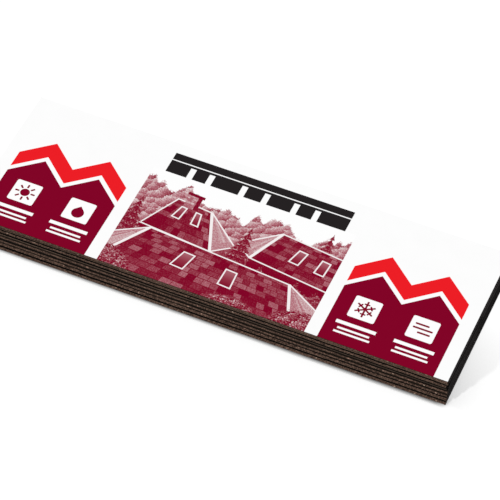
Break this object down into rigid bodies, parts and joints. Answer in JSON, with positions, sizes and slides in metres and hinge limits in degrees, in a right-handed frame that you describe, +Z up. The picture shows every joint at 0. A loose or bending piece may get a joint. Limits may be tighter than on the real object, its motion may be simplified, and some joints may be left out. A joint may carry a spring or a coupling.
{
  "type": "asphalt shingle bundle",
  "caption": "Flat bundle of laminated asphalt shingles, stacked in interlocking face-to-face pairs with staggered edges, under a printed paper cover sheet.",
  "frame": {"origin": "middle of the bundle's underside, on the floor it lies on", "axes": "+X along the bundle's length, -Y towards its front long edge, +Z up through the stack"},
  "size_m": [1.0042, 0.3484, 0.0723],
  "materials": {
    "shingle": "matte",
    "cover_print": "satin"
  },
  "bodies": {
    "root": {"shingle_01": "shingle", "shingle_02": "shingle", "shingle_03": "shingle", "shingle_04": "shingle", "shingle_05": "shingle", "shingle_06": "shingle", "shingle_07": "shingle", "shingle_08": "shingle", "shingle_09": "shingle", "shingle_10": "shingle", "shingle_11": "shingle", "shingle_12": "shingle", "cover_sheet": "cover_print"}
  },
  "joints": []
}
